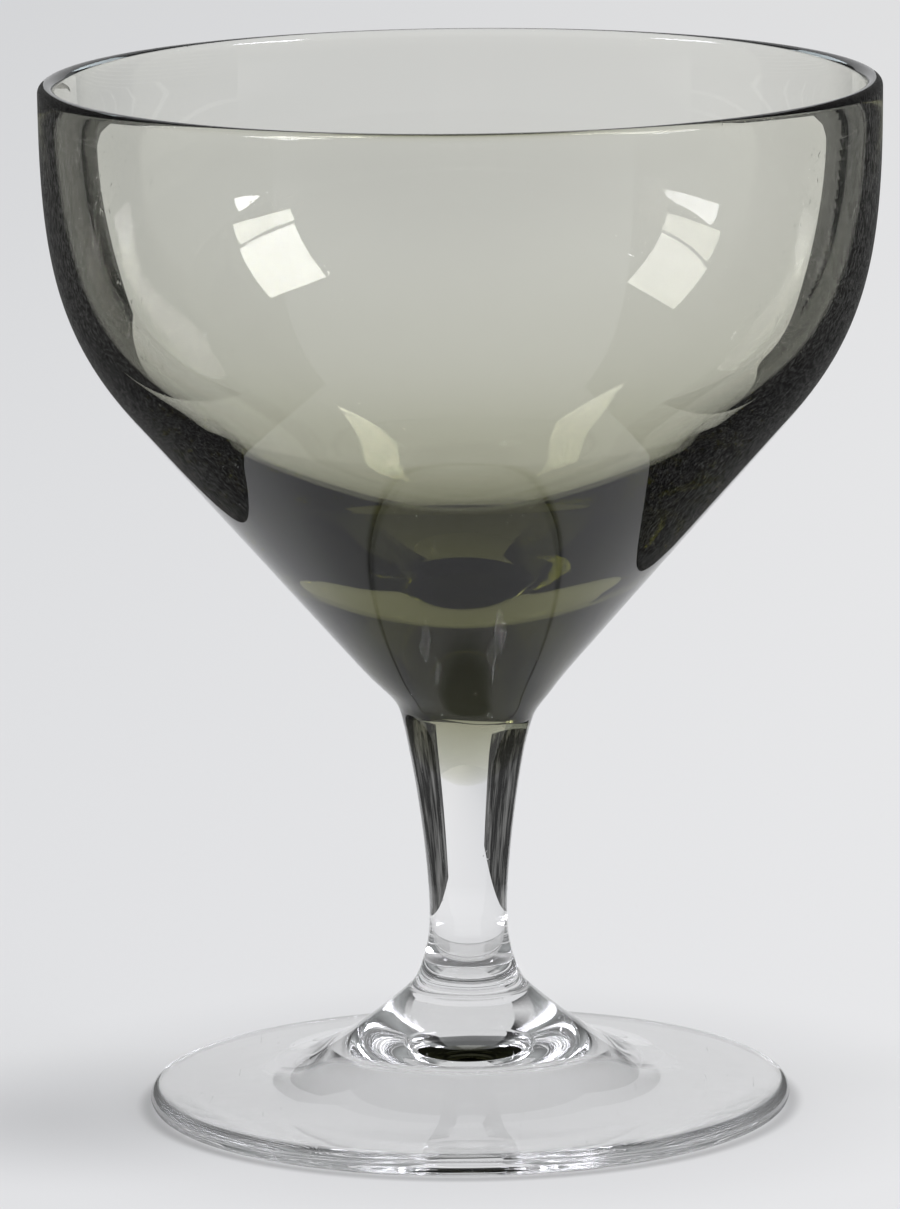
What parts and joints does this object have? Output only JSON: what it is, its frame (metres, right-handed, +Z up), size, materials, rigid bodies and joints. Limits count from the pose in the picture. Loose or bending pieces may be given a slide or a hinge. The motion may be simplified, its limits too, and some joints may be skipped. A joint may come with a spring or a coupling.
{
  "type": "sherbet glass",
  "caption": "Footed dessert glass with a wide smoke-grey bowl on a thick solid base, a clear waisted stem and a clear round foot, for serving sherbet or a drink.",
  "frame": {"origin": "on the table, under the middle of the foot", "axes": "+Z up the axis of the glass towards the rim; +X and +Y are free, because the glass is turned"},
  "size_m": [0.0902, 0.0902, 0.112],
  "materials": {
    "smoke_glass": "polished smoke-grey glass",
    "clear_stem_glass": "polished clear glass",
    "clear_foot_glass": "polished clear glass, lightly worn"
  },
  "bodies": {
    "root": {"bowl": "smoke_glass", "stem": "clear_stem_glass", "foot": "clear_foot_glass"}
  },
  "joints": []
}
